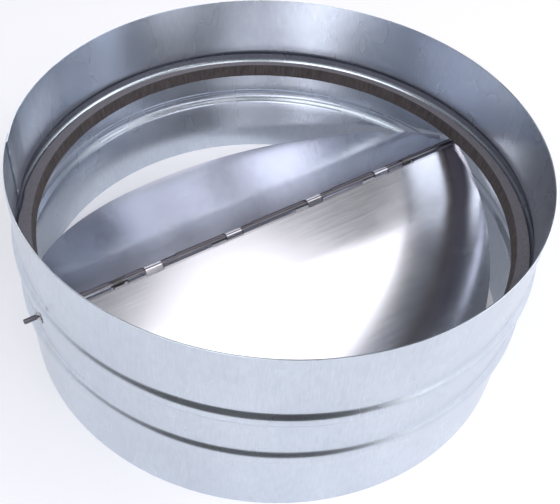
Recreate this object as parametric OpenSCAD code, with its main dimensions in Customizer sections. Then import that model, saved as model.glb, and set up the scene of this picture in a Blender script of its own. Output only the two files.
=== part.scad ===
// Duct non-return valve: a short casing rolled from galvanised sheet, with two
// beads, a foam seat ring inside, and two half-round flaps hung on one pin.
// Origin at the centre of the lower rim, Z up along the duct, X along the pin.
// The flaps are drawn as they rest with the casing stood on a flat surface.

/* [Casing] */
// Outside diameter of the plain ends, which push into the next duct
casing_d = 314; // [200:1:400]
// Length from rim to rim
body_len = 133.5; // [110:0.5:180]
// Thickness of the rolled sheet
sheet_t = 0.7; // [0.5:0.1:1]
// Height of the pin's centre
hinge_z = 68.7; // [60:0.1:90]
// Height of the middle between the two beads
bead_mid = 67.4; // [62:0.1:76]
// Distance between the crests of the two beads
bead_pitch = 35.1; // [30:0.1:44]
// Height of a bead, measured along the duct
bead_h = 13.8; // [8:0.1:16]
// Height of the flat crest of a bead
bead_crest = 2.4; // [1:0.1:4]
// How far a bead stands out of the wall
bead_depth = 2.5; // [1.5:0.1:4]
// Width of the lap where the two ends of the sheet overlap
lap_w = 8.2; // [5:0.1:15]
// Direction of the lap's inside edge, in degrees from +X
lap_at = 152; // [100:1:170]

/* [Seat ring] */
// Height of the foam ring
seat_h = 8.8; // [6:0.1:12]
// Thickness of the foam ring, from the wall inwards
seat_t = 5.9; // [4:0.1:8]
// Height of the ring's lower face above the pin's centre
seat_lift = 4.15; // [3.6:0.05:8]

/* [Flaps] */
// Gap between the flaps' round edge and the casing's bore
rim_gap = 3.7; // [1.5:0.1:5]
// Thickness of the flap sheet
flap_t = 0.8; // [0.5:0.1:1.2]
// Distance from the pin to the stiffening bend
crease_at = 40; // [34:1:70]
// Inside radius of the stiffening bend
crease_r = 150; // [60:5:250]

/* [Hinge] */
// Diameter of the pin
pin_d = 3; // [2.5:0.1:4]
// How far the pin stands out of the wall at each side
pin_out = 8.9; // [5:0.1:12]
// Chamfer on the pin's ends
pin_chamfer = 0.4; // [0.2:0.1:0.8]
// Place of an outer tongue along the pin, as a share of the flap's radius
tongue_far_share = 0.565; // [0.54:0.005:0.62]
// Place of an inner tongue along the pin, as a share of the flap's radius
tongue_near_share = 0.2; // [0.19:0.005:0.24]
// Width of a tongue along the pin
tongue_w = 10.8; // [8:0.1:14]
// Free room beside a tongue in the other flap's notch
notch_slack = 11.2; // [6:0.1:14]
// Width of the open slot beside an inner tongue
slot_w = 10; // [6:0.1:14]
// Place of a spring along the pin, as a share of the flap's radius
spring_share = 0.714; // [0.7:0.002:0.8]
// Width of the notches around a spring
spring_notch = 10.4; // [9:0.1:14]

/* [Springs] */
// Diameter of the spring wire
wire_d = 0.8; // [0.6:0.05:1.2]
// Number of turns
turns = 7; // [4:1:8]
// Length of a spring leg
leg_len = 28; // [15:1:40]

/* [Lock washers] */
// Outside diameter of a push-on lock washer
washer_d = 9.6; // [8:0.1:14]
// Thickness of its sheet
washer_t = 0.4; // [0.3:0.05:0.6]
// Number of gripping fingers
fingers = 4; // [3:1:6]
// Width of the cuts between the fingers
finger_cut = 1.1; // [0.5:0.1:1.2]
// How far the fingers are dished outwards
dish = 1; // [0.5:0.1:1.5]

/* [Hidden] */
$fn = 96;
// clearances, each named after what it separates
pin_fit = 0.08; // tongue bore around the pin, a running fit, radial
hole_fit = 0.1; // casing hole around the pin, radial
lip_fit = 0.45; // rolled lips around the pin, radial
grip_fit = 0.02; // lock washer fingers on the pin, radial
cut_past = 0.15; // how far the cuts between the fingers run into the washer's flat rim
glue_gap = 0.1; // adhesive film behind the foam ring
seat_gap = 0.3; // closed flap below the foam ring
face_gap = 0.05; // lock washer against the wall
side_gap = 0.5; // beside a tongue, along the pin
notch_gap = 0.6; // a notch's edge beyond the turned tongues and lips
floor_gap = 0.5; // flap edge above the surface that the casing stands on
leg_gap = 0.15; // spring leg under its flap
coil_fit = 0.15; // spring coil around the pin, radial

casing_r = casing_d / 2;
bore_r = casing_r - sheet_t;
flap_r = bore_r - rim_gap;
tongue_far = flap_r * tongue_far_share;
tongue_near = flap_r * tongue_near_share;
spring_x = flap_r * spring_share;
bead_hi = bead_mid + bead_pitch / 2;
bead_lo = bead_mid - bead_pitch / 2;
lap_deg = lap_w / casing_r * 180 / PI;
pin_r = pin_d / 2;
seat_z = hinge_z + seat_lift;
wide = 2 * casing_d;

// tongue and lip rings around the pin
tongue_in = pin_r + pin_fit;
tongue_out = tongue_in + flap_t;
lip_in = pin_r + lip_fit;
lip_out = lip_in + flap_t;
lip_end = 65; // where a lip stops, from its flap's own plane
ramp_at = 65; // where a tongue's ramp leaves the ring
tongue_end = 250; // where a tongue's ring stops
tongue_root = 1; // how far a tongue runs on in its sheet
notch_r = max(tongue_out, lip_out) + notch_gap; // edge of the sheet at a notch
// where a tongue's ramp meets its sheet
foot = tongue_out * cos(ramp_at) + tan(ramp_at) * (tongue_out * sin(ramp_at) - flap_t);

// the bend lifts the outer part of the flap until it lies flat under the seat
rise = seat_lift - seat_gap - flap_t;
crease = asin(rise / crease_at);
crease_y = crease_at * cos(crease);
crease_run = crease_r * tan(crease / 2);

// opening angle at which the flap's edge comes down to the surface below
outer = flap_r - crease_y;
sweep = norm([crease_y + outer, rise]);
tip = atan2(rise, crease_y + outer);
rest_open = asin(min(0.97, (hinge_z - floor_gap) / sweep)) + tip;
rest_plane = rest_open - crease; // slope of the inner part at rest

// places of the notches along one flap, as [centre, width]
own_tongues = [tongue_far, -tongue_near];
other_notch_w = tongue_w + side_gap + notch_slack;
other_notch_off = (notch_slack - side_gap) / 2;
notches = [
  [-tongue_far + other_notch_off, other_notch_w],
  [tongue_near + other_notch_off, other_notch_w],
  [-tongue_near + (tongue_w + slot_w) / 2, slot_w],
  [spring_x, spring_notch],
  [-spring_x, spring_notch]
];

coil_r = pin_r + coil_fit + wire_d / 2;
coil_pitch = wire_d * 1.12;
coil_len = coil_pitch * turns;

// a stretch of a circle, as points
function arc(c, r, from, to, n) =
  [for (i = [0:n]) let(a = from + (to - from) * i / n) c + r * [cos(a), sin(a)]];

// how far the wall bulges out at height z, for a bead with its crest at zc
function bulge(z, zc) =
  let(w = max(0, abs(z - zc) - bead_crest / 2) / ((bead_h - bead_crest) / 2))
  bead_depth * (w < 1 ? (1 + cos(180 * w)) / 2 : 0);

function bead_line(zc, n = 20) =
  [for (i = [0:n]) let(z = zc - bead_h / 2 + bead_h * i / n) [bulge(z, zc), z]];

// one face of the wall from rim to rim, at radius r
function wall_line(r) = [for (p = concat(
    [[0, 0]], bead_line(bead_lo), bead_line(bead_hi), [[0, body_len]]
  )) [r + p[0], p[1]]];

function reversed(list) = [for (i = [len(list) - 1:-1:0]) list[i]];

module wall_section(r) {
  polygon(concat(wall_line(r), reversed(wall_line(r - sheet_t))));
}

module along_x(len) {
  rotate([90, 0, 90]) linear_extrude(height = len, center = true) children();
}

// Casing

module casing() {
  color("Gainsboro") difference() {
    union() {
      rotate_extrude($fn = 180) wall_section(casing_r);
      // the inner end of the sheet, lapped behind the outer one
      rotate([0, 0, lap_at - lap_deg])
        rotate_extrude(angle = lap_deg, $fn = 180) wall_section(casing_r - sheet_t);
    }
    translate([0, 0, hinge_z]) rotate([0, 90, 0])
      cylinder(r = pin_r + hole_fit, h = wide, center = true);
  }
}

// Foam seat ring

module seat_ring() {
  out = bore_r - glue_gap;
  color("DimGray") translate([0, 0, seat_z]) difference() {
    rotate_extrude($fn = 180) translate([bore_r - seat_t, 0]) square([out - bore_r + seat_t, seat_h]);
    // the back gives way to the lap
    rotate([0, 0, lap_at - lap_deg - 0.3]) translate([0, 0, -1])
      rotate_extrude(angle = lap_deg + 0.6, $fn = 180)
        translate([out - sheet_t, 0]) square([sheet_t + 1, seat_h + 2]);
  }
}

// Hinge pin

module hinge_pin() {
  half = casing_r + pin_out;
  c = pin_chamfer;
  color("SlateGray") translate([0, 0, hinge_z]) rotate([0, 90, 0]) rotate_extrude()
    polygon([[0, -half], [pin_r - c, -half], [pin_r, -half + c],
      [pin_r, half - c], [pin_r - c, half], [0, half]]);
}

// Flaps, both cut and folded alike, one turned half round

// the section across a flap with its inner part level: lip, sheet and bend
module flap_section() {
  bend = [crease_at - crease_run, -crease_r];
  square_to = [sin(crease), cos(crease)];
  reach = flap_r * [cos(crease), -sin(crease)];
  low = bend + crease_r * square_to + reach;
  high = bend + (crease_r + flap_t) * square_to + reach;
  polygon(concat(
    arc([0, 0], lip_out, asin(flap_t / lip_out), lip_end, 10),
    arc([0, 0], lip_in, lip_end, 0, 10),
    arc(bend, crease_r, 90, 90 - crease, 6), [low, high],
    arc(bend, crease_r + flap_t, 90 - crease, 90, 6)
  ));
}

// a tongue that ramps up, runs over the pin and closes below it
module tongue_section() {
  fall = [sin(ramp_at), -cos(ramp_at)];
  near_low = tongue_in * [cos(ramp_at), sin(ramp_at)];
  foot_low = near_low + fall * near_low[1] / cos(ramp_at);
  polygon(concat(
    [[foot + tongue_root, 0], [foot + tongue_root, flap_t], [foot, flap_t]],
    arc([0, 0], tongue_out, ramp_at, tongue_end, 24),
    arc([0, 0], tongue_in, tongue_end, ramp_at, 24), [foot_low]
  ));
}

module hinge_cut(x, w, reach) {
  translate([x, reach - 2 * notch_r, 0]) cube([w, 4 * notch_r, 4 * notch_r], center = true);
}

// the inner part is drawn level, then turned up so that the outer part is level
module closed_flap() {
  intersection() {
    rotate([crease, 0, 0]) {
      difference() {
        along_x(2 * flap_r) flap_section();
        for (n = notches) hinge_cut(n[0], n[1], notch_r);
        // the sheet is slit so that each tongue can rise
        for (x = own_tongues) hinge_cut(x, tongue_w + 2 * side_gap, foot);
      }
      for (x = own_tongues) translate([x, 0, 0]) along_x(tongue_w) tongue_section();
    }
    cylinder(r = flap_r, h = wide, center = true, $fn = 180);
  }
}

module resting_flap() {
  translate([0, 0, hinge_z]) rotate([-rest_open, 0, 0]) closed_flap();
}

module far_flap() {
  color("WhiteSmoke") resting_flap();
}

module near_flap() {
  color("WhiteSmoke") rotate([0, 0, 180]) resting_flap();
}

// Torsion springs, with one leg under each flap

// a point of the wire is [x, y, z, angle of its outer side around the pin]
function coil_point(a, start) =
  [-coil_len / 2 + coil_pitch * (a - start) / 360, coil_r * cos(a), coil_r * sin(a), a];

function leg_point(s, side, x) =
  let(
    drop = coil_r - (coil_r - wire_d / 2 - leg_gap) * s / leg_len,
    a = rest_plane
  )
  [x, side * (s * cos(a) - drop * sin(a)), -s * sin(a) - drop * cos(a), -90 - side * a];

function wire_route() =
  let(
    start = -90 + rest_plane,
    stop = -90 - rest_plane + 360 * turns,
    steps = 18 * turns,
    x0 = -coil_len / 2,
    x1 = x0 + coil_pitch * (stop - start) / 360
  )
  concat(
    [leg_point(leg_len, -1, x0), leg_point(leg_len * 0.4, -1, x0)],
    [for (i = [0:steps]) coil_point(start + (stop - start) * i / steps, start)],
    [leg_point(leg_len * 0.4, 1, x1), leg_point(leg_len, 1, x1)]
  );

module spring() {
  sides = 6;
  route = wire_route();
  n = len(route);
  // a ring of points around each point of the route, square to the wire
  points = [for (p = route) for (k = [0:sides - 1])
    let(b = 360 * k / sides, r = wire_d / 2, out = [0, cos(p[3]), sin(p[3])])
    [p[0], p[1], p[2]] + r * cos(b) * out + r * sin(b) * [1, 0, 0]];
  walls = [for (i = [0:n - 2]) for (k = [0:sides - 1])
    let(j = (k + 1) % sides)
    [i * sides + k, i * sides + j, (i + 1) * sides + j, (i + 1) * sides + k]];
  translate([0, 0, hinge_z]) polyhedron(points, concat(
    walls, [[for (k = [sides - 1:-1:0]) k]], [[for (k = [0:sides - 1]) (n - 1) * sides + k]]
  ));
}

module left_spring() {
  color("DarkSlateGray") translate([-spring_x, 0, 0]) spring();
}

module right_spring() {
  color("DarkSlateGray") translate([spring_x, 0, 0]) rotate([0, 0, 180]) spring();
}

// Push-on lock washers

module lock_washer() {
  rim = washer_d / 2;
  neck = pin_r + grip_fit;
  knee = (rim + neck) / 2;
  translate([casing_r + face_gap, 0, hinge_z]) rotate([0, 90, 0]) difference() {
    rotate_extrude() polygon([
      [rim, 0], [rim, washer_t], [knee, washer_t], [neck, dish + washer_t], [neck, dish], [knee, 0]
    ]);
    // the cuts between the fingers
    for (i = [0:fingers - 1]) rotate([0, 0, 45 + 360 * i / fingers])
      translate([0, -finger_cut / 2, -1]) cube([knee + cut_past, finger_cut, dish + washer_t + 2]);
  }
}

module right_lock_washer() {
  color("Silver") lock_washer();
}

module left_lock_washer() {
  color("Silver") mirror([1, 0, 0]) lock_washer();
}

casing();
seat_ring();
hinge_pin();
near_flap();
far_flap();
left_spring();
right_spring();
left_lock_washer();
right_lock_washer();
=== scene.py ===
import math
import random
import bpy
import bmesh
from mathutils import Matrix, Quaternion, Vector, noise


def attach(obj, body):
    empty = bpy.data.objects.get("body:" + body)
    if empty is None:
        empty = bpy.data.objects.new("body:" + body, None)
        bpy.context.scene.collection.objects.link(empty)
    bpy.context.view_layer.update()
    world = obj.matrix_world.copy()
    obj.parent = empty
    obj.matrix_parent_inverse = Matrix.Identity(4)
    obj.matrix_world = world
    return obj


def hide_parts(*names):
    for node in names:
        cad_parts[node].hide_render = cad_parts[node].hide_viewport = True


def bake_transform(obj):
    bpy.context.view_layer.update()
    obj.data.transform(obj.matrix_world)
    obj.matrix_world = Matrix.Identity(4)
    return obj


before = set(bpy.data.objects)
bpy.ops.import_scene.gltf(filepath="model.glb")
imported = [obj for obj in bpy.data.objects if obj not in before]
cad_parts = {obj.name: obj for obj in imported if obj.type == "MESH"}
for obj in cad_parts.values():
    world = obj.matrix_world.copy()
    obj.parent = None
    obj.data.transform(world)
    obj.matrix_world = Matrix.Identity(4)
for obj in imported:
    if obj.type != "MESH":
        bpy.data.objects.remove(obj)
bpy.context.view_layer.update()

# Driving sizes in metres, as the solids have them
MM = 0.001
CASING_R = 157 * MM
BODY_LEN = 133.5 * MM
SHEET_T = 0.7 * MM
HINGE_Z = 68.7 * MM
BEAD_MID = 67.4 * MM
BEAD_PITCH = 35.1 * MM
BEAD_H = 13.8 * MM
BEAD_CREST = 2.4 * MM
BEAD_DEPTH = 2.5 * MM
LAP_OUTER_EDGE = 149.0  # direction of the sheet's outer end, in degrees from +X
LAP_INNER_EDGE = 152.0  # direction of its inner end, lapped behind the outer one
LAP_TURN_IN = 142.0  # where the inner end starts to run inwards
PIN_R = 1.5 * MM
SEAT_Z = 72.85 * MM
SEAT_H = 8.8 * MM
FOAM_LOW = (146.5 * MM, 75.3 * MM)  # inner lower edge of the foam, as the photograph shows it
FOAM_HIGH = (147.6 * MM, 84.0 * MM)  # inner upper edge
FLAP_R = 152.6 * MM
FLAP_T = 0.8 * MM
SEAT_LIFT = 4.15 * MM
SEAT_GAP = 0.3 * MM
FLOOR_GAP = 0.5 * MM
CREASE_AT = 40 * MM
CREASE_R = 150 * MM
TONGUE_FAR = FLAP_R * 0.565
TONGUE_NEAR = FLAP_R * 0.2
TONGUE_W = 10.8 * MM
NOTCH_SLACK = 11.2 * MM
SLOT_W = 10 * MM
SIDE_GAP = 0.5 * MM
SPRING_X = FLAP_R * 0.714
SPRING_NOTCH = 10.4 * MM
WIRE_R = 0.4 * MM
SPRING_TURNS = 7
LEG_LEN = 28 * MM
COIL_R = 2.05 * MM
COIL_PITCH = 0.896 * MM
LEG_GAP = 0.15 * MM

# Sizes worked out from them
BORE_R = CASING_R - SHEET_T
BEAD_HI = BEAD_MID + BEAD_PITCH / 2
BEAD_LO = BEAD_MID - BEAD_PITCH / 2
TONGUE_IN = PIN_R + 0.08 * MM
TONGUE_OUT = TONGUE_IN + FLAP_T
LIP_IN = PIN_R + 0.45 * MM
LIP_OUT = LIP_IN + FLAP_T
LIP_END = math.radians(65)
RAMP_AT = math.radians(65)
TONGUE_END = math.radians(250)
NOTCH_R = LIP_OUT + 0.6 * MM
RISE = SEAT_LIFT - SEAT_GAP - FLAP_T
CREASE = math.asin(RISE / CREASE_AT)
CREASE_RUN = CREASE_R * math.tan(CREASE / 2)
REST_OPEN = math.asin((HINGE_Z - FLOOR_GAP) / math.hypot(FLAP_R, RISE)) + math.atan2(RISE, FLAP_R)
REST_PLANE = REST_OPEN - CREASE
FOOT = TONGUE_OUT * math.cos(RAMP_AT) + math.tan(RAMP_AT) * (TONGUE_OUT * math.sin(RAMP_AT) - FLAP_T)


# Node materials


class Finish:
    """A Principled material, with short calls for the nodes that vary it."""

    def __init__(self, name, metallic, roughness, base=(0.8, 0.8, 0.8)):
        self.mat = bpy.data.materials.new(name)
        self.mat.use_nodes = True
        self.tree = self.mat.node_tree
        self.shader = self.tree.nodes["Principled BSDF"]
        self.shader.inputs["Metallic"].default_value = metallic
        self.shader.inputs["Roughness"].default_value = roughness
        self.shader.inputs["Base Color"].default_value = (*base, 1)
        self.place = self.tree.nodes.new("ShaderNodeTexCoord").outputs["Object"]
        self.last_bump = None

    def link(self, out, socket):
        self.tree.links.new(out, socket)

    def noise(self, scale, stretch=(1, 1, 1), detail=2.0, rough=0.5):
        """A noise of about 1 / scale metres, squeezed along each axis by stretch."""
        mapping = self.tree.nodes.new("ShaderNodeMapping")
        mapping.inputs["Scale"].default_value = stretch
        self.link(self.place, mapping.inputs["Vector"])
        tex = self.tree.nodes.new("ShaderNodeTexNoise")
        tex.inputs["Scale"].default_value = scale
        tex.inputs["Detail"].default_value = detail
        tex.inputs["Roughness"].default_value = rough
        self.link(mapping.outputs["Vector"], tex.inputs["Vector"])
        return tex.outputs["Fac"]

    def cells(self, scale, stretch=(1, 1, 1)):
        """Crystals of about 1 / scale metres, each with one random tone."""
        mapping = self.tree.nodes.new("ShaderNodeMapping")
        mapping.inputs["Scale"].default_value = stretch
        self.link(self.place, mapping.inputs["Vector"])
        tex = self.tree.nodes.new("ShaderNodeTexVoronoi")
        tex.inputs["Scale"].default_value = scale
        self.link(mapping.outputs["Vector"], tex.inputs["Vector"])
        split = self.tree.nodes.new("ShaderNodeSeparateColor")
        self.link(tex.outputs["Color"], split.inputs["Color"])
        return split.outputs["Red"]

    def scale_to(self, value, low, high, start=0.0, end=1.0):
        """Maps start to end of a value onto low to high."""
        node = self.tree.nodes.new("ShaderNodeMapRange")
        for name, number in (("From Min", start), ("From Max", end), ("To Min", low), ("To Max", high)):
            node.inputs[name].default_value = number
        self.link(value, node.inputs["Value"])
        return node.outputs["Result"]

    def math(self, operation, a, b):
        node = self.tree.nodes.new("ShaderNodeMath")
        node.operation = operation
        for socket, value in zip(node.inputs, (a, b)):
            if isinstance(value, (int, float)):
                socket.default_value = value
            else:
                self.link(value, socket)
        return node.outputs[0]

    def mix(self, share, low, high):
        """A colour between low and high, each a colour or another mix."""
        node = self.tree.nodes.new("ShaderNodeMix")
        node.data_type = "RGBA"
        sockets = [s for s in node.inputs if s.type == "RGBA"]
        for socket, value in zip(sockets, (low, high)):
            if isinstance(value, tuple):
                socket.default_value = (*value, 1)
            else:
                self.link(value, socket)
        self.link(share, [s for s in node.inputs if s.name == "Factor" and s.type == "VALUE"][0])
        return [s for s in node.outputs if s.type == "RGBA"][0]

    def near(self, point, reach):
        """1 at a point of the object and 0 beyond reach metres from it."""
        node = self.tree.nodes.new("ShaderNodeVectorMath")
        node.operation = "DISTANCE"
        self.link(self.place, node.inputs[0])
        node.inputs[1].default_value = point
        return self.scale_to(node.outputs["Value"], 1, 0, 0, reach)

    def off_axis(self, point, across):
        """Distance from the axis through a point that across, a 1 or 0 for each direction, leaves out."""
        flat = self.tree.nodes.new("ShaderNodeVectorMath")
        flat.operation = "MULTIPLY_ADD"
        flat.inputs[1].default_value = across
        flat.inputs[2].default_value = [-p * a for p, a in zip(point, across)]
        self.link(self.place, flat.inputs[0])
        length = self.tree.nodes.new("ShaderNodeVectorMath")
        length.operation = "LENGTH"
        self.link(flat.outputs["Vector"], length.inputs[0])
        return length.outputs["Value"]

    def color(self, out):
        self.link(out, self.shader.inputs["Base Color"])

    def roughness(self, out):
        self.link(out, self.shader.inputs["Roughness"])

    def bump(self, height, depth, strength=1.0):
        """Adds relief of about depth metres."""
        node = self.tree.nodes.new("ShaderNodeBump")
        node.inputs["Strength"].default_value = strength
        node.inputs["Distance"].default_value = depth
        self.link(height, node.inputs["Height"])
        if self.last_bump is not None:
            self.link(self.last_bump, node.inputs["Normal"])
        self.last_bump = node.outputs["Normal"]
        self.link(self.last_bump, self.shader.inputs["Normal"])


def galvanised_sheet():
    """Zinc-coated sheet: faint crystals, fine drawn lines up the wall, cloudy patches and two old marks."""
    f = Finish("galvanised_sheet", 1.0, 0.27)
    lines = f.noise(1100, (1, 1, 0.12), 1, 0.4)
    clouds = f.noise(28, (1, 1, 0.6), 2)
    crystals = f.cells(330, (1, 1, 0.6))
    tone = f.math("ADD", f.math("MULTIPLY", clouds, 0.5), f.math("MULTIPLY", crystals, 0.1))
    tone = f.math("ADD", tone, f.math("MULTIPLY", lines, 0.4))
    sheet = f.mix(f.scale_to(tone, 0, 1, 0.2, 0.8), (0.505, 0.558, 0.63), (0.66, 0.713, 0.785))
    scuff = f.near(wall_point(186.1, 92.2 * MM), 2.2 * MM)
    sheet = f.mix(f.math("MULTIPLY", scuff, 0.8), sheet, (0.16, 0.16, 0.18))
    smear = f.near(wall_point(184.1, 55 * MM), 7 * MM)
    sheet = f.mix(f.math("MULTIPLY", smear, 0.25), sheet, (0.50, 0.47, 0.38))
    f.color(sheet)
    f.roughness(f.scale_to(clouds, 0.25, 0.29, 0.2, 0.8))
    return f.mat


def rolled_flap():
    """Bright rolled sheet, smoother than the casing, with painted shade darkening it where it wraps round the pin.
    """
    f = Finish("flap_sheet", 1.0, 0.2)
    hinge_shade = f.scale_to(f.off_axis((0, 0, HINGE_Z), (0, 1, 1)), 1, 0, 3.6 * MM, 4.6 * MM)
    grain = f.noise(700, (0.03, 1, 1), 3)
    clouds = f.noise(22, (1, 1, 1), 3)
    tone = f.math("ADD", f.math("MULTIPLY", clouds, 0.6), f.math("MULTIPLY", grain, 0.4))
    sheet = f.mix(f.scale_to(tone, 0, 1, 0.2, 0.8), (0.74, 0.725, 0.79), (0.86, 0.845, 0.91))
    # painted shade: within 3.6 to 4.6 mm of the pin's axis the sheet is mixed towards a dark grey
    f.color(f.mix(f.math("MULTIPLY", hinge_shade, 0.4), sheet, (0.34, 0.31, 0.36)))
    f.roughness(f.scale_to(tone, 0.16, 0.26, 0.2, 0.8))
    f.bump(grain, 0.006 * MM, 0.5)
    f.bump(clouds, 0.12 * MM, 0.3)
    return f.mat


def sheared_edge_and_shade():
    """The dull edge of the flap's cut sheet at the lips and tongues: partly its own rough cut face, partly painted
    shade as dark as the hinge's gaps.
    """
    f = Finish("sheared_edge_and_shade", 1.0, 0.5)
    lines = f.noise(1500, (0.1, 1, 1), 2)
    f.color(f.mix(lines, (0.05, 0.045, 0.06), (0.14, 0.125, 0.15)))
    return f.mat


def cell_foam():
    """Closed-cell foam strip, brown-grey and matt, cut with fine lines across it; its inner face is painted darker
    as shade and its top face lighter as lit.
    """
    f = Finish("foam", 0.0, 0.85)
    cells = f.noise(1800, (1, 1, 1), 2)
    streaks = f.noise(650, (1, 1, 0.1), 2)
    tone = f.math("ADD", f.math("MULTIPLY", cells, 0.5), f.math("MULTIPLY", streaks, 0.5))
    lined = f.scale_to(tone, 0, 1, 0.3, 0.7)
    # painted shade and light: nearer the axis than 147.9 mm the foam is a dark shaded copy, beyond 148.6 mm a
    # lighter lit copy
    cut = f.mix(lined, (0.024, 0.019, 0.021), (0.105, 0.088, 0.090))
    lit_top_face = f.mix(lined, (0.165, 0.150, 0.172), (0.245, 0.225, 0.255))
    f.color(f.mix(f.scale_to(f.off_axis((0, 0, 0), (1, 1, 0)), 0, 1, 147.9 * MM, 148.6 * MM), cut, lit_top_face))
    f.bump(tone, 0.2 * MM, 0.6)
    return f.mat


def drawn_steel():
    """Drawn rod, semi-bright, with lines along it."""
    f = Finish("pin_steel", 1.0, 0.3)
    lines = f.noise(2500, (0.02, 1, 1), 2)
    f.color(f.mix(f.scale_to(lines, 0, 1, 0.3, 0.7), (0.10, 0.09, 0.11), (0.26, 0.25, 0.28)))
    f.roughness(f.scale_to(lines, 0.22, 0.4, 0.3, 0.7))
    f.bump(lines, 0.02 * MM, 0.6)
    return f.mat


def spring_wire():
    """Dark patented wire."""
    f = Finish("spring_wire", 1.0, 0.35)
    spots = f.noise(1500, (1, 1, 1), 3)
    f.color(f.mix(f.scale_to(spots, 0, 1, 0.3, 0.7), (0.12, 0.11, 0.11), (0.26, 0.25, 0.25)))
    f.roughness(f.scale_to(spots, 0.28, 0.45, 0.3, 0.7))
    return f.mat


def zinc_washer():
    """Zinc-plated spring steel with worn fingers."""
    f = Finish("washer_steel", 1.0, 0.3)
    spots = f.noise(900, (1, 1, 1), 3)
    f.color(f.mix(f.scale_to(spots, 0, 1, 0.35, 0.65), (0.34, 0.33, 0.35), (0.68, 0.68, 0.7)))
    f.roughness(f.scale_to(spots, 0.22, 0.42, 0.3, 0.7))
    f.bump(spots, 0.03 * MM, 0.5)
    return f.mat


def weld_metal():
    """The bright dimple that a spot weld leaves."""
    f = Finish("weld_metal", 1.0, 0.22)
    spots = f.noise(1200, (1, 1, 1), 2)
    f.color(f.mix(f.scale_to(spots, 0, 1, 0.3, 0.7), (0.62, 0.63, 0.66), (0.85, 0.86, 0.88)))
    f.roughness(f.scale_to(spots, 0.18, 0.3, 0.3, 0.7))
    return f.mat


# Mesh building


def new_piece(name, verts, faces, mat, body, sharp=35, weld=0.0):
    """Makes a smooth-shaded piece with one material, riding on a body (or on none yet)."""
    mesh = bpy.data.meshes.new(name)
    mesh.from_pydata([tuple(v) for v in verts], [], faces)
    if weld:
        bm = bmesh.new()
        bm.from_mesh(mesh)
        bmesh.ops.remove_doubles(bm, verts=bm.verts, dist=weld)
        bmesh.ops.dissolve_degenerate(bm, edges=bm.edges, dist=weld)
        bm.to_mesh(mesh)
        bm.free()
    for poly in mesh.polygons:
        poly.use_smooth = True
    mesh.set_sharp_from_angle(angle=math.radians(sharp))
    obj = bpy.data.objects.new(name, mesh)
    bpy.context.scene.collection.objects.link(obj)
    mesh.materials.append(mat)
    if body:
        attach(obj, body)
    return obj


def spread(start, stop, count):
    """count even steps from start up to, and without, stop."""
    return [start + (stop - start) * i / count for i in range(count)]


def wall_point(azimuth, z, r=CASING_R):
    """A point at a direction in degrees, a height and a radius."""
    a = math.radians(azimuth)
    return (r * math.cos(a), r * math.sin(a), z)


def bead_bulge(z, crest_z):
    across = max(0.0, abs(z - crest_z) - BEAD_CREST / 2) / ((BEAD_H - BEAD_CREST) / 2)
    return BEAD_DEPTH * (1 + math.cos(math.pi * min(1.0, across))) / 2


def wall_bulge(z):
    return bead_bulge(z, BEAD_HI) + bead_bulge(z, BEAD_LO)


# Casing


def casing_shell(mat):
    """The sheet rolled once round, its inner end run in behind the outer one."""
    edge = 0.15 * MM  # broken edge at the rims
    foot = BEAD_H / 2
    heights = spread(edge, BEAD_LO - foot, 7) + spread(BEAD_LO - foot, BEAD_LO + foot, 20)
    heights += spread(BEAD_LO + foot, BEAD_HI - foot, 4) + spread(BEAD_HI - foot, BEAD_HI + foot, 20)
    heights += spread(BEAD_HI + foot, BODY_LEN - edge, 7) + [BODY_LEN - edge]
    outside = [(wall_bulge(z), z) for z in heights]
    inside = [(d - SHEET_T, z) for d, z in reversed(outside)]
    section = [(-edge, 0)] + outside + [(-edge, BODY_LEN), (edge - SHEET_T, BODY_LEN)] + inside
    section += [(edge - SHEET_T, 0)]
    columns = 720
    step = (LAP_INNER_EDGE + 360 - LAP_OUTER_EDGE) / columns
    verts = []
    for i in range(columns + 1):
        azimuth = LAP_OUTER_EDGE + step * i
        run_in = (azimuth - 360 - LAP_TURN_IN) / (LAP_OUTER_EDGE - LAP_TURN_IN)
        shift = (SHEET_T + 0.05 * MM) * min(1.0, max(0.0, run_in))
        for d, z in section:
            sag = 0.12 * MM * (0.5 + 0.5 * noise.noise(Vector(wall_point(azimuth, z, 1.6)) * 1.5))
            verts.append(wall_point(azimuth, z, CASING_R + d - shift - sag))
    n = len(section)
    faces = [(i * n + k, (i + 1) * n + k, (i + 1) * n + (k + 1) % n, i * n + (k + 1) % n)
             for i in range(columns) for k in range(n)]
    for row, flip in ((0, 1), (columns * n, -1)):  # close the sheet's two ends
        for k in range(n // 2 - 1):
            faces.append(tuple([row + k, row + k + 1, row + n - 2 - k, row + n - 1 - k][::flip]))
    shell = new_piece("casing_shell", verts, faces, mat, None)
    cut_pin_holes(shell)
    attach(shell, "casing_body")
    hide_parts("casing")


def cut_pin_holes(shell):
    """Cuts the two holes that carry the pin."""
    bm = bmesh.new()
    turn = Matrix.Translation((0, 0, HINGE_Z)) @ Matrix.Rotation(math.pi / 2, 4, "Y")
    bmesh.ops.create_cone(bm, cap_ends=True, segments=48, radius1=PIN_R + 0.1 * MM,
                          radius2=PIN_R + 0.1 * MM, depth=3 * CASING_R, matrix=turn)
    mesh = bpy.data.meshes.new("hole_cutter")
    bm.to_mesh(mesh)
    bm.free()
    cutter = bpy.data.objects.new("hole_cutter", mesh)
    bpy.context.scene.collection.objects.link(cutter)
    cut = shell.modifiers.new("holes", "BOOLEAN")
    cut.operation = "DIFFERENCE"
    cut.solver = "EXACT"
    cut.object = cutter
    bpy.context.view_layer.update()
    depsgraph = bpy.context.evaluated_depsgraph_get()
    made = bpy.data.meshes.new_from_object(shell.evaluated_get(depsgraph))
    shell.modifiers.clear()
    shell.data = made
    bpy.data.objects.remove(cutter)


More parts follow.
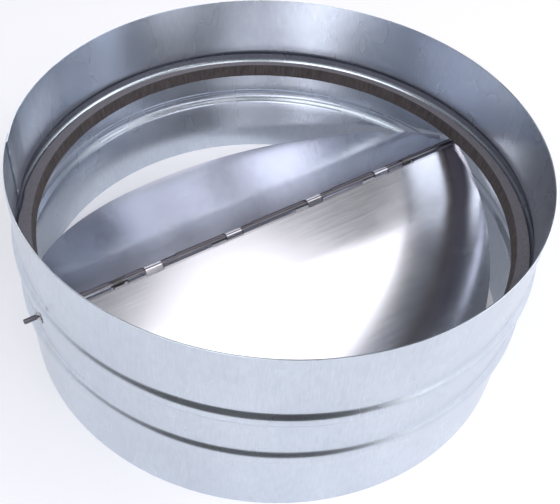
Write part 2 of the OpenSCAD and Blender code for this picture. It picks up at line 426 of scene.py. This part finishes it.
def weld_spots(mat):
    """A row of shallow spot welds down the lap's inner edge."""
    rings, around, size, proud = 5, 20, 1.7 * MM, 0.22 * MM
    azimuth = LAP_INNER_EDGE - 0.3
    normal = -Vector(wall_point(azimuth, 0, 1))
    along = Vector((0, 0, 1))
    across = normal.cross(along)
    for number, z in enumerate([10 * MM, 26 * MM, 66 * MM, 94.4 * MM, 112 * MM, 125 * MM]):
        verts, faces = [], []
        centre = Vector(wall_point(azimuth, z, BORE_R - SHEET_T - 0.19 * MM))
        for i in range(rings + 1):
            t = i / rings
            rise = proud * (math.cos(math.pi * t) * 0.5 + 0.5) - 0.1 * MM * t
            for k in range(around):
                a = 2 * math.pi * k / around
                flat = along * math.cos(a) * size * t * 1.5 + across * math.sin(a) * size * t * 0.8
                verts.append(centre + flat + normal * rise)
        for i in range(rings):
            for k in range(around):
                j = (k + 1) % around
                faces.append((i * around + k, i * around + j, (i + 1) * around + j, (i + 1) * around + k))
        faces.append(tuple(rings * around + k for k in range(around)))
        new_piece(f"spot_weld_{number + 1}", verts, faces, mat, "casing_body", weld=1e-6)


# Foam seat ring


def toward(a, b):
    """The unit step from one point of a section towards another."""
    step = Vector(b) - Vector(a)
    return step / step.length


def between(a, b, count):
    """Points that divide a line of a section into count parts."""
    return [tuple(Vector(a).lerp(Vector(b), i / count)) for i in range(1, count)]


def foam_ring(mat):
    """A foam strip glued round the bore, its cut faces lined across."""
    rng = random.Random(5)
    out = BORE_R - 0.1 * MM
    corner = 0.45 * MM
    columns = 1100
    # the strip's four corners as (radius, height): foot, inner foot, inner top, top
    foot, low, high, top = (out, SEAT_Z), FOAM_LOW, FOAM_HIGH, (out, SEAT_Z + SEAT_H)
    section = []  # (radius, height, how far the cut surface is lined)
    for at, back, on in ((low, foot, high), (high, low, top)):
        for i in range(5):
            t = i / 4
            bend = [at[k] + corner * ((1 - t) ** 2 * toward(at, back)[k] + t ** 2 * toward(at, on)[k])
                    for k in (0, 1)]
            section.append((*bend, 1))
        if at is low:
            section += [(*point, 1) for point in between(low, high, 8)]
    section += [(*point, 0.5) for point in between(high, top, 6)]
    section += [(out, top[1] - 0.1 * MM, 0), (out, SEAT_Z + 0.1 * MM, 0)]
    section += [(*point, 0) for point in between(foot, low, 4)]
    middle_r = (low[0] + out) / 2
    n = len(section)
    verts = []
    for i in range(columns):
        azimuth = 360 * i / columns
        depth = 0.16 * MM * rng.random()
        at_lap = max(0.0, 1 - abs(azimuth - (LAP_OUTER_EDGE + 1.2)) / 4)
        give = (SHEET_T + 0.1 * MM) * min(1.0, 2 * at_lap)
        for r, z, lined in section:
            wave = 0.15 * MM * noise.noise(Vector(wall_point(azimuth, z, 2)) * 3)
            pull = lined * (depth + 0.08 * MM * rng.random())
            r2 = min(r, out - give) + (pull if r < middle_r else 0) + lined * wave
            verts.append(wall_point(azimuth, z, r2))
    faces = [(i * n + k, i * n + (k + 1) % n, (i + 1) % columns * n + (k + 1) % n, (i + 1) % columns * n + k)
             for i in range(columns) for k in range(n)]
    ring = new_piece("foam_ring", verts, faces, mat, "casing_body", sharp=60)
    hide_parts("seat_ring")


# Flaps


def flap_line():
    """The section from the lip's end to beyond the rim, as (low point, high point, name of its zone)."""
    line = []
    for i in range(11):
        a = LIP_END * (1 - i / 10)
        b = LIP_END + (math.asin(FLAP_T / LIP_OUT) - LIP_END) * i / 10
        line.append(((LIP_IN * math.cos(a), LIP_IN * math.sin(a)),
                     (LIP_OUT * math.cos(b), LIP_OUT * math.sin(b)), "lip"))
    level = [(NOTCH_R, "root"), (FOOT, "sheet")]
    level += [(y, "sheet") for y in spread(FOOT, CREASE_AT - CREASE_RUN, 9)[1:]]
    line += [((y, 0), (y, FLAP_T), zone) for y, zone in level]
    bend = (CREASE_AT - CREASE_RUN, -CREASE_R)
    for i in range(13):
        a = math.pi / 2 - CREASE * i / 12
        low, high = [(bend[0] + r * math.cos(a), bend[1] + r * math.sin(a)) for r in (CREASE_R, CREASE_R + FLAP_T)]
        line.append((low, high, "sheet"))
    reach = FLAP_R - line[-1][0][0]
    for i in range(1, 31):
        t = reach * math.sin(math.pi / 2 * i / 30) * 1.001
        step = (t * math.cos(CREASE), -t * math.sin(CREASE))
        line.append(tuple((p[0] + step[0], p[1] + step[1]) for p in (low, high)) + ("sheet",))
    return line


def tongue_line():
    """A tongue's section, from its foot over the pin to its end below it."""
    fall = (math.sin(RAMP_AT), -math.cos(RAMP_AT))
    near = [(r * math.cos(RAMP_AT), r * math.sin(RAMP_AT)) for r in (TONGUE_IN, TONGUE_OUT)]
    down = near[0][1] / math.cos(RAMP_AT)
    foot_low = (near[0][0] + fall[0] * down, 0)
    part = 0.12
    on_ramp = (FOOT + (near[1][0] - FOOT) * part, FLAP_T + (near[1][1] - FLAP_T) * part)
    line = [((FOOT, 0), (FOOT, FLAP_T)), (foot_low, on_ramp)]
    for i in range(33):
        a = RAMP_AT + (TONGUE_END - RAMP_AT) * i / 32
        line.append(tuple((r * math.cos(a), r * math.sin(a)) for r in (TONGUE_IN, TONGUE_OUT)))
    return line


def within(x, spans):
    return any(abs(x - centre) < width / 2 for centre, width in spans)


def flap_columns(spans):
    """Places across the flap: every cut's sides, and even steps that close up towards the ends."""
    steps = 170
    ends = FLAP_R - 0.02 * MM
    places = [ends * math.sin(math.pi * (i / steps - 0.5)) for i in range(steps + 1)]
    for centre, width in spans:
        places += [centre + width * k / 8 for k in range(-4, 5)]
    places.sort()
    kept = [places[0]]
    sides = {round(c + s * w / 2, 9) for c, w in spans for s in (-1, 1)}
    for x in places[1:]:
        if x - kept[-1] > 0.5 * MM:
            kept.append(x)
        elif round(x, 9) in sides:
            if round(kept[-1], 9) in sides:
                kept.append(x)
            else:
                kept[-1] = x
    return kept


def flap(name, node, body, turn, mat, edge, seed):
    """A half-round flap: lips, notches, bend and tongues in one closed skin, drawn closed and let down."""
    tongues = [(TONGUE_FAR, TONGUE_W), (-TONGUE_NEAR, TONGUE_W)]
    slits = [(x, w + 2 * SIDE_GAP) for x, w in tongues]
    other_w = TONGUE_W + SIDE_GAP + NOTCH_SLACK
    other_off = (NOTCH_SLACK - SIDE_GAP) / 2
    notches = [(other_off - TONGUE_FAR, other_w), (other_off + TONGUE_NEAR, other_w),
               ((TONGUE_W + SLOT_W) / 2 - TONGUE_NEAR, SLOT_W),
               (SPRING_X, SPRING_NOTCH), (-SPRING_X, SPRING_NOTCH)]
    xs = flap_columns(tongues + slits + notches)
    line = flap_line()
    verts, faces = [], []

    def corner(x, point):
        """A point of the level drawing, cut off at the round rim, as it lies at rest."""
        y, z = point
        c, s = math.cos(CREASE), math.sin(CREASE)
        y, z = y * c - z * s, y * s + z * c
        limit = math.sqrt(max(0.0, FLAP_R ** 2 - x * x))
        if y > limit:
            z = z - (y - limit) * (math.tan(CREASE) if y * c + z * s < CREASE_AT - CREASE_RUN else 0)
            y = limit
        fade = min(1.0, max(0.0, (y - 8 * MM) / (20 * MM)))
        z += fade * 0.10 * MM * noise.noise(Vector((x * 18 + seed, y * 18, 0)))
        c, s = math.cos(-REST_OPEN), math.sin(-REST_OPEN)
        y, z = y * c - z * s, y * s + z * c
        return Vector((x * turn, y * turn, z + HINGE_Z))

    def skin(columns, rows, is_open, joins=None):
        """Quads above and below each open cell, and walls wherever its neighbour is missing."""
        table = {}

        def vert(i, j, k):
            key = (i, j, k)
            if key not in table:
                table[key] = len(verts)
                verts.append(corner(columns[i], rows[j][k]))
            return table[key]

        def filled(i, j):
            return 0 <= i < len(columns) - 1 and 0 <= j < len(rows) - 1 and is_open(i, j)

        for i in range(len(columns) - 1):
            for j in range(len(rows) - 1):
                if not filled(i, j):
                    continue
                faces.append((vert(i, j, 1), vert(i + 1, j, 1), vert(i + 1, j + 1, 1), vert(i, j + 1, 1)))
                faces.append((vert(i, j, 0), vert(i, j + 1, 0), vert(i + 1, j + 1, 0), vert(i + 1, j, 0)))
                for di, dj, a, b in ((-1, 0, (i, j + 1), (i, j)), (1, 0, (i + 1, j), (i + 1, j + 1)),
                                     (0, -1, (i, j), (i + 1, j)), (0, 1, (i + 1, j + 1), (i, j + 1))):
                    if not filled(i + di, j + dj) and not (joins and joins(i, j, dj)):
                        faces.append((vert(*a, 1), vert(*a, 0), vert(*b, 0), vert(*b, 1)))

    def middle(i):
        return (xs[i] + xs[i + 1]) / 2

    foot_row = [j for j, row in enumerate(line) if row[2] == "sheet"][0]

    def sheet_open(i, j):
        if j >= foot_row:
            return abs(xs[i]) < FLAP_R and abs(xs[i + 1]) < FLAP_R
        if within(middle(i), slits):
            return False
        return line[j][2] == "root" or not within(middle(i), notches)

    skin(xs, line, sheet_open, lambda i, j, dj: dj == -1 and j == foot_row and within(middle(i), tongues))
    for x, width in tongues:
        across = [v for v in xs if abs(v - x) < width / 2 + 1e-7]
        skin(across, [(*row, "") for row in tongue_line()], lambda i, j: True,
             lambda i, j, dj: dj == -1 and j == 0)
    obj = new_piece(name, verts, faces, mat, None, sharp=20, weld=1e-6)
    bm = bmesh.new()
    bm.from_mesh(obj.data)
    bmesh.ops.recalc_face_normals(bm, faces=bm.faces)
    bm.to_mesh(obj.data)
    bm.free()
    obj.data.set_sharp_from_angle(angle=math.radians(20))
    # painted shade: cut faces within the lips' radius of the pin get the dark edge material
    obj.data.materials.append(edge)
    for poly in obj.data.polygons:
        out = Vector((0, poly.center.y, poly.center.z - HINGE_Z))
        if out.length < LIP_OUT + 0.1 * MM and abs(poly.normal.dot(out.normalized())) < 0.5:
            poly.material_index = 1
    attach(obj, body)
    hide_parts(node)


# Springs


def spring_route():
    """The wire's centreline from the tip of the near leg, round the coil, to the tip of the far leg."""
    start = -90 + math.degrees(REST_PLANE)
    stop = -90 - math.degrees(REST_PLANE) + 360 * SPRING_TURNS
    left = -COIL_PITCH * SPRING_TURNS / 2

    def leg(s, side, x):
        drop = COIL_R - (COIL_R - WIRE_R - LEG_GAP) * s / LEG_LEN
        c, d = math.cos(REST_PLANE), math.sin(REST_PLANE)
        out = Vector((0, -side * d, -c))
        return Vector((x, side * (s * c - drop * d), -s * d - drop * c)), out

    near_leg = [leg(LEG_LEN * t, -1, left) for t in (1, 0.8, 0.6, 0.4, 0.25, 0.12, 0.05)]
    coil = []
    steps = 28 * SPRING_TURNS
    for i in range(steps + 1):
        a = math.radians(start + (stop - start) * i / steps)
        out = Vector((0, math.cos(a), math.sin(a)))
        coil.append((Vector((left + COIL_PITCH * math.degrees(a) / 360 - COIL_PITCH * start / 360, 0, 0))
                     + COIL_R * out, out))
    right = coil[-1][0].x
    far_leg = [leg(LEG_LEN * t, 1, right) for t in (0.05, 0.12, 0.25, 0.4, 0.6, 0.8, 1)]
    return near_leg + coil + far_leg


def spring_half(name, part, place, turn, mat):
    """A stretch of a spring's wire as a closed tube of ten sides."""
    sides = 10
    verts, faces = [], []
    for point, out in part:
        for k in range(sides):
            b = 2 * math.pi * k / sides
            p = point + WIRE_R * math.cos(b) * out + WIRE_R * math.sin(b) * Vector((1, 0, 0))
            verts.append(Vector((place + p.x * turn, p.y * turn, HINGE_Z + p.z)))
    n = len(part)
    for i in range(n - 1):
        for k in range(sides):
            j = (k + 1) % sides
            faces.append((i * sides + k, i * sides + j, (i + 1) * sides + j, (i + 1) * sides + k))
    faces.append(tuple(range(sides - 1, -1, -1)))
    faces.append(tuple((n - 1) * sides + k for k in range(sides)))
    return new_piece(name, verts, faces, mat, None, sharp=50)


def springs(mat):
    """Each spring in two halves, one leg in each."""
    route = spring_route()
    middle = len(route) // 2
    for side, place, turn in (("left", -SPRING_X, 1), ("right", SPRING_X, -1)):
        for half, part, flap_side in (("first", route[:middle + 1], -1), ("second", route[middle:], 1)):
            obj = spring_half(f"{side}_spring_{half}_half", part, place, turn, mat)
            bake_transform(obj)
            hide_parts(f"{side}_spring")


# Studio


def from_camera(right, ahead, up):
    """A point in this frame, given in the photograph's: right, away from the camera, up."""
    a = math.radians(-36.88)
    return (right * math.cos(a) - ahead * math.sin(a), right * math.sin(a) + ahead * math.cos(a), up)


def camera():
    """The camera at the photograph's angle: fitted to the two rims."""
    turn = Matrix.Rotation(math.radians(-36.88), 3, "Z")
    distance, elevation = 3.0301 * CASING_R, 0.6741
    place = Vector((0, -distance * math.cos(elevation), distance * math.sin(elevation)))
    forward = -place.normalized()
    right = Vector((1, 0, 0))
    up = right.cross(forward)
    for name, angle in (("up", 0.0251), ("right", -0.0852), ("forward", -0.0805)):
        q = Quaternion({"up": up, "right": right, "forward": forward}[name], angle)
        forward = q @ forward
        right = q @ right
        up = right.cross(forward)
    rotation = Matrix((right, up, -forward)).transposed()
    placed = (turn @ rotation).to_4x4()
    placed.translation = turn @ place + Vector((0, 0, BODY_LEN))
    cam = bpy.data.objects.new("camera", bpy.data.cameras.new("camera"))
    bpy.context.scene.collection.objects.link(cam)
    cam.matrix_world = placed
    cam.data.sensor_width = 36
    cam.data.lens = 814.95 / 560 * 36
    cam.data.shift_x = (280 - 254.505) / 560
    cam.data.shift_y = -(252 - 204.843) / 560
    cam.data.clip_end = 20
    bpy.context.scene.camera = cam


def area(name, place, target, size, power, color=(1, 1, 1)):
    light = bpy.data.lights.new(name, "AREA")
    light.shape = "RECTANGLE"
    light.size, light.size_y = size
    light.energy = power
    light.color = color
    obj = bpy.data.objects.new(name, light)
    bpy.context.scene.collection.objects.link(obj)
    obj.location = place
    obj.rotation_euler = (Vector(target) - Vector(place)).to_track_quat("-Z", "Y").to_euler()


def staged_plane(name, corners, mat, only_reflected=False):
    mesh = bpy.data.meshes.new(name)
    mesh.from_pydata(corners, [], [(0, 1, 2, 3)])
    obj = bpy.data.objects.new(name, mesh)
    bpy.context.scene.collection.objects.link(obj)
    mesh.materials.append(mat)
    if only_reflected:
        obj.visible_camera = False
        obj.visible_diffuse = False
        obj.visible_shadow = False


def studio():
    """A pale floor, soft boxes over and beside the camera, a black card in front and a dim room."""
    floor = Finish("pale_floor", 0.0, 0.9, (0.84, 0.825, 0.87))
    floor.shader.inputs["Emission Color"].default_value = (0.95, 0.97, 1.0, 1)
    floor.shader.inputs["Emission Strength"].default_value = 0.2
    s = 4.0
    staged_plane("floor", [(-s, -s, 0), (s, -s, 0), (s, s, 0), (-s, s, 0)], floor.mat)
    black = Finish("black_card", 0.0, 1.0, (0.02, 0.02, 0.022)).mat
    card = [from_camera(-0.30, -0.56, 0.0), from_camera(0.22, -0.56, 0.0),
            from_camera(0.58, -0.56, 0.20), from_camera(-0.66, -0.56, 0.20)]
    staged_plane("black_card", card, black, only_reflected=True)
    middle = (0, 0, 0.07)
    area("overhead_left", from_camera(-0.66, -1.10, 1.40), middle, (1.80, 0.99), 16.3)
    area("overhead_right", from_camera(0.74, -1.02, 1.42), middle, (0.85, 0.85), 6.4)
    area("right_high", from_camera(0.88, -0.19, 1.69), middle, (0.85, 0.85), 4.0)
    area("right_mid", from_camera(1.43, 0.36, 1.18), middle, (1.13, 0.79), 6.1)
    area("right_side", from_camera(1.76, 0.25, 0.58), middle, (5.70, 0.59), 26.2)
    area("right_low", from_camera(1.81, 0.38, 0.20), middle, (4.41, 0.26), 3.6)
    area("left_side", from_camera(-1.82, -0.22, 0.33), middle, (1.20, 0.45), 1.4)
    area("top_left", from_camera(-0.26, -0.37, 1.87), middle, (0.92, 0.59), 2.0)
    area("far_fill", from_camera(-0.50, 1.37, 1.21), middle, (1.65, 0.79), 6.5)
    world = bpy.data.worlds.new("studio")
    bpy.context.scene.world = world
    world.use_nodes = True
    sky = world.node_tree.nodes["Background"]
    sky.inputs["Color"].default_value = (0.88, 0.94, 1.0, 1)
    sky.inputs["Strength"].default_value = 0.14
    bpy.context.scene.view_settings.view_transform = "Standard"


camera()
studio()
galvanised = galvanised_sheet()
bright = rolled_flap()
cut_edge_and_shade = sheared_edge_and_shade()
casing_shell(galvanised)
weld_spots(weld_metal())
foam_ring(cell_foam())
flap("near_flap_sheet", "near_flap", "near_flap_body", -1, bright, cut_edge_and_shade, 3.0)
flap("far_flap_sheet", "far_flap", "far_flap_body", 1, bright, cut_edge_and_shade, 7.0)
springs(spring_wire())
carried = {"hinge_pin": drawn_steel(), "left_lock_washer": zinc_washer()}
carried["right_lock_washer"] = carried["left_lock_washer"]
for node, mat in carried.items():
    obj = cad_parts[node]
    obj.data.materials.clear()
    obj.data.materials.append(mat)
